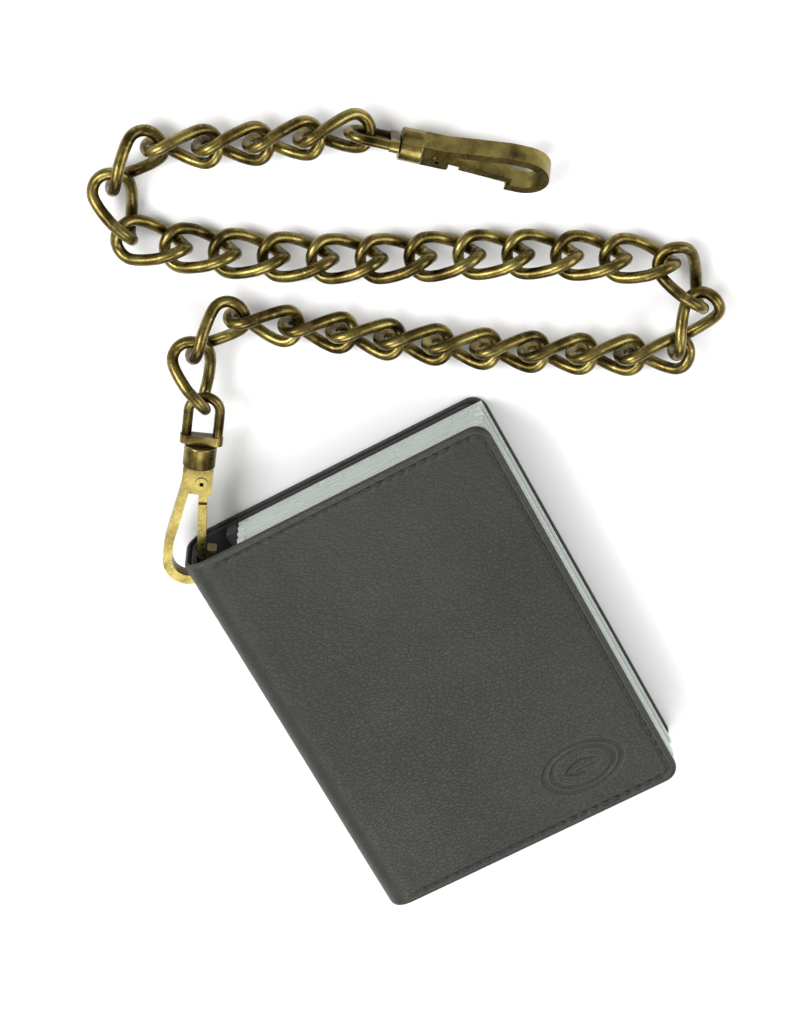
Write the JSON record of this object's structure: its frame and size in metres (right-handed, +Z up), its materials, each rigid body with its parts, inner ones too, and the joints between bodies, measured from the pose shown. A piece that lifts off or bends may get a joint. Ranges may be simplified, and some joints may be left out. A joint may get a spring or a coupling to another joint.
{
  "type": "chain wallet",
  "caption": "Folded leather wallet with a block of clear card sleeves, on a twisted curb chain with a trigger snap at each end.",
  "frame": {"origin": "centre of the back cover's underside, on the surface the wallet lies on", "axes": "+X from the spine to the opening edge, +Y up the spine towards the eyelet, +Z up from the back cover"},
  "size_m": [0.1593, 0.2187, 0.0226],
  "materials": {
    "leather": "black full-grain leather, fine pebble grain, soft sheen",
    "inner_leather": "smooth black leather",
    "lining": "black woven lining",
    "thread": "black waxed thread",
    "eyelet_metal": "blackened brass",
    "clear_sleeve": "clear soft vinyl, slightly cloudy at its edges",
    "card": "pale card",
    "antique_brass": "antique brass, dark in the hollows and bright where it is rubbed",
    "spring_steel": "spring wire"
  },
  "bodies": {
    "wallet": {"back_cover": "leather", "stitching_back": "thread", "back_lining": "lining", "back_pocket": "inner_leather", "spine_cover": "leather", "spine_lining": "lining", "eyelet": "eyelet_metal", "eyelet_washer": "eyelet_metal", "sleeve_binding": "inner_leather", "sleeves_lower": "clear_sleeve", "cards_lower": "card"},
    "cover": {"front_cover": "leather", "stitching_front": "thread", "front_lining": "lining", "front_pocket": "inner_leather"},
    "sleeves_mid": {"sleeves_middle": "clear_sleeve", "cards_middle": "card"},
    "sleeves_top": {"sleeves_upper": "clear_sleeve", "cards_upper": "card"},
    "wallet_snap": {"wallet_hook": "antique_brass", "wallet_rivet": "antique_brass", "wallet_gate_spring": "spring_steel"},
    "wallet_snap_gate": {"wallet_gate": "antique_brass"},
    "wallet_snap_eye": {"wallet_swivel_eye": "antique_brass"},
    "link_01": {"link_01": "antique_brass"},
    "link_02": {"link_02": "antique_brass"},
    "link_03": {"link_03": "antique_brass"},
    "link_04": {"link_04": "antique_brass"},
    "link_05": {"link_05": "antique_brass"},
    "link_06": {"link_06": "antique_brass"},
    "link_07": {"link_07": "antique_brass"},
    "link_08": {"link_08": "antique_brass"},
    "link_09": {"link_09": "antique_brass"},
    "link_10": {"link_10": "antique_brass"},
    "link_11": {"link_11": "antique_brass"},
    "link_12": {"link_12": "antique_brass"},
    "link_13": {"link_13": "antique_brass"},
    "link_14": {"link_14": "antique_brass"},
    "link_15": {"link_15": "antique_brass"},
    "link_16": {"link_16": "antique_brass"},
    "link_17": {"link_17": "antique_brass"},
    "link_18": {"link_18": "antique_brass"},
    "link_19": {"link_19": "antique_brass"},
    "link_20": {"link_20": "antique_brass"},
    "link_21": {"link_21": "antique_brass"},
    "link_22": {"link_22": "antique_brass"},
    "link_23": {"link_23": "antique_brass"},
    "link_24": {"link_24": "antique_brass"},
    "link_25": {"link_25": "antique_brass"},
    "link_26": {"link_26": "antique_brass"},
    "link_27": {"link_27": "antique_brass"},
    "link_28": {"link_28": "antique_brass"},
    "link_29": {"link_29": "antique_brass"},
    "link_30": {"link_30": "antique_brass"},
    "belt_snap_eye": {"belt_swivel_eye": "antique_brass"},
    "belt_snap": {"belt_hook": "antique_brass", "belt_rivet": "antique_brass", "belt_gate_spring": "spring_steel"},
    "belt_snap_gate": {"belt_gate": "antique_brass"}
  },
  "joints": [
    {"name": "cover_open", "type": "hinge", "parent": "wallet", "child": "cover", "pos_m": [-0.03635, 0, 0.0226], "axis": [0, -1, 0], "range_deg": [0, 165]},
    {"name": "sleeves_mid_turn", "type": "hinge", "parent": "wallet", "child": "sleeves_mid", "pos_m": [-0.0286, 0, 0.00846], "axis": [0, -1, 0], "range_deg": [0, 25]},
    {"name": "sleeves_top_turn", "type": "hinge", "parent": "sleeves_mid", "child": "sleeves_top", "pos_m": [-0.0286, 0, 0.01392], "axis": [0, -1, 0], "range_deg": [0, 30]},
    {"name": "wallet_snap_swing", "type": "hinge", "parent": "wallet", "child": "wallet_snap", "pos_m": [-0.0425, 0.0505, 0.0113], "axis": [1, 0, 0], "range_deg": [-20, 20]},
    {"name": "wallet_gate_open", "type": "hinge", "parent": "wallet_snap", "child": "wallet_snap_gate", "pos_m": [-0.02919, 0.07302, 0.0113], "axis": [0, 0, -1], "range_deg": [0, 16], "stiffness_Nm_per_rad": 0.02, "springref_deg": -20.05},
    {"name": "wallet_swivel", "type": "hinge", "parent": "wallet_snap", "child": "wallet_snap_eye", "pos_m": [-0.02443, 0.0819, 0.0113], "axis": [-0.5736, -0.8192, 0], "continuous": true},
    {"name": "chain_01", "type": "hinge", "parent": "wallet_snap_eye", "child": "link_01", "pos_m": [-0.01698, 0.09255, 0.0113], "axis": [0.8192, -0.5736, 0], "range_deg": [-20, 20]},
    {"name": "chain_02", "type": "hinge", "parent": "link_01", "child": "link_02", "pos_m": [-0.01423, 0.10717, 0.00969], "axis": [0.9597, -0.2443, 0.1386], "range_deg": [0, 20]},
    {"name": "chain_03", "type": "hinge", "parent": "link_02", "child": "link_03", "pos_m": [0.00179, 0.10886, 0.00844], "axis": [-0.3178, 0.938, -0.1386], "range_deg": [-20, 0]},
    {"name": "chain_04", "type": "hinge", "parent": "link_03", "child": "link_04", "pos_m": [0.01193, 0.09634, 0.00719], "axis": [-0.6135, -0.7774, 0.1386], "range_deg": [-20, 20]},
    {"name": "chain_05", "type": "hinge", "parent": "link_04", "child": "link_05", "pos_m": [0.02295, 0.08783, 0.00572], "axis": [0.5985, 0.789, -0.1385], "range_deg": [-20, 20]},
    {"name": "chain_06", "type": "hinge", "parent": "link_05", "child": "link_06", "pos_m": [0.03292, 0.08057, 0.0063], "axis": [-0.5913, -0.7943, 0.1392], "range_deg": [-20, 20]},
    {"name": "chain_07", "type": "hinge", "parent": "link_06", "child": "link_07", "pos_m": [0.04303, 0.07356, 0.0063], "axis": [0.5727, 0.8079, -0.1392], "range_deg": [-20, 20]},
    {"name": "chain_08", "type": "hinge", "parent": "link_07", "child": "link_08", "pos_m": [0.0533, 0.06679, 0.0063], "axis": [-0.5538, -0.821, 0.1392], "range_deg": [-20, 20]},
    {"name": "chain_09", "type": "hinge", "parent": "link_08", "child": "link_09", "pos_m": [0.06373, 0.06027, 0.0063], "axis": [0.5345, 0.8336, -0.1392], "range_deg": [-20, 20]},
    {"name": "chain_10", "type": "hinge", "parent": "link_09", "child": "link_10", "pos_m": [0.07431, 0.05398, 0.0063], "axis": [-0.515, -0.8458, 0.1392], "range_deg": [-20, 20]},
    {"name": "chain_11", "type": "hinge", "parent": "link_10", "child": "link_11", "pos_m": [0.08503, 0.04795, 0.0063], "axis": [0.4951, 0.8576, -0.1392], "range_deg": [-20, 20]},
    {"name": "chain_12", "type": "hinge", "parent": "link_11", "child": "link_12", "pos_m": [0.09613, 0.04262, 0.0063], "axis": [-0.4496, -0.8823, 0.1392], "range_deg": [-20, 0]},
    {"name": "chain_13", "type": "hinge", "parent": "link_12", "child": "link_13", "pos_m": [0.10766, 0.05424, 0.0063], "axis": [-0.5393, 0.8305, -0.1392], "range_deg": [0, 20]},
    {"name": "chain_14", "type": "hinge", "parent": "link_13", "child": "link_14", "pos_m": [0.10336, 0.07004, 0.0063], "axis": [0.9889, 0.0518, 0.1392], "range_deg": [-20, 0]},
    {"name": "chain_15", "type": "hinge", "parent": "link_14", "child": "link_15", "pos_m": [0.08865, 0.07611, 0.0063], "axis": [-0.5538, -0.821, -0.1392], "range_deg": [-20, 20]},
    {"name": "chain_16", "type": "hinge", "parent": "link_15", "child": "link_16", "pos_m": [0.07811, 0.08246, 0.0063], "axis": [0.5248, 0.8398, 0.1392], "range_deg": [-20, 20]},
    {"name": "chain_17", "type": "hinge", "parent": "link_16", "child": "link_17", "pos_m": [0.06736, 0.08844, 0.0063], "axis": [-0.4951, -0.8576, -0.1392], "range_deg": [-20, 20]},
    {"name": "chain_18", "type": "hinge", "parent": "link_17", "child": "link_18", "pos_m": [0.0564, 0.09404, 0.0063], "axis": [0.4649, 0.8744, 0.1392], "range_deg": [-20, 20]},
    {"name": "chain_19", "type": "hinge", "parent": "link_18", "child": "link_19", "pos_m": [0.04526, 0.09926, 0.0063], "axis": [-0.4341, -0.89, -0.1392], "range_deg": [-20, 20]},
    {"name": "chain_20", "type": "hinge", "parent": "link_19", "child": "link_20", "pos_m": [0.0342, 0.10465, 0.0063], "axis": [0.4341, 0.89, 0.1392], "range_deg": [-20, 20]},
    {"name": "chain_21", "type": "hinge", "parent": "link_20", "child": "link_21", "pos_m": [0.02347, 0.11067, 0.0063], "axis": [-0.4687, -0.8723, -0.1392], "range_deg": [-20, 20]},
    {"name": "chain_22", "type": "hinge", "parent": "link_21", "child": "link_22", "pos_m": [0.01298, 0.11711, 0.0063], "axis": [0.5026, 0.8532, 0.1392], "range_deg": [-20, 20]},
    {"name": "chain_23", "type": "hinge", "parent": "link_22", "child": "link_23", "pos_m": [0.00275, 0.12395, 0.0063], "axis": [-0.5357, -0.8329, -0.1392], "range_deg": [-20, 20]},
    {"name": "chain_24", "type": "hinge", "parent": "link_23", "child": "link_24", "pos_m": [-0.0072, 0.13119, 0.0063], "axis": [0.568, 0.8112, 0.1392], "range_deg": [-20, 20]},
    {"name": "chain_25", "type": "hinge", "parent": "link_24", "child": "link_25", "pos_m": [-0.01671, 0.13901, 0.0063], "axis": [-0.6097, -0.7803, -0.1392], "range_deg": [-20, 0]},
    {"name": "chain_26", "type": "hinge", "parent": "link_25", "child": "link_26", "pos_m": [-0.01106, 0.15437, 0.0063], "axis": [0.9806, -0.1378, 0.1392], "range_deg": [0, 20]},
    {"name": "chain_27", "type": "hinge", "parent": "link_26", "child": "link_27", "pos_m": [0.00508, 0.15715, 0.0063], "axis": [-0.371, 0.9182, -0.1392], "range_deg": [-20, 0]},
    {"name": "chain_28", "type": "hinge", "parent": "link_27", "child": "link_28", "pos_m": [0.01726, 0.1472, 0.0063], "axis": [-0.4649, -0.8744, 0.1392], "range_deg": [-20, 20]},
    {"name": "chain_29", "type": "hinge", "parent": "link_28", "child": "link_29", "pos_m": [0.02876, 0.14203, 0.0063], "axis": [0.4237, 0.895, -0.1392], "range_deg": [-20, 20]},
    {"name": "chain_30", "type": "hinge", "parent": "link_29", "child": "link_30", "pos_m": [0.04049, 0.13741, 0.0063], "axis": [-0.3816, -0.9138, 0.1392], "range_deg": [-20, 20]},
    {"name": "chain_31", "type": "hinge", "parent": "link_30", "child": "belt_snap_eye", "pos_m": [0.05242, 0.13333, 0.0063], "axis": [0.3387, 0.9305, -0.1392], "range_deg": [-20, 20]},
    {"name": "belt_swivel", "type": "hinge", "parent": "belt_snap_eye", "child": "belt_snap", "pos_m": [0.05716, 0.12665, 0.0063], "axis": [0.7547, -0.6561, 0], "continuous": true},
    {"name": "belt_gate_open", "type": "hinge", "parent": "belt_snap", "child": "belt_snap_gate", "pos_m": [0.0641, 0.1194, 0.00553], "axis": [-0.4217, -0.4851, 0.766], "range_deg": [0, 16], "stiffness_Nm_per_rad": 0.02, "springref_deg": -20.05}
  ],
  "couplings": [
    {"joint": "sleeves_mid_turn", "follows": "cover_open", "ratio": 0.15151},
    {"joint": "sleeves_top_turn", "follows": "cover_open", "ratio": 0.18182}
  ]
}
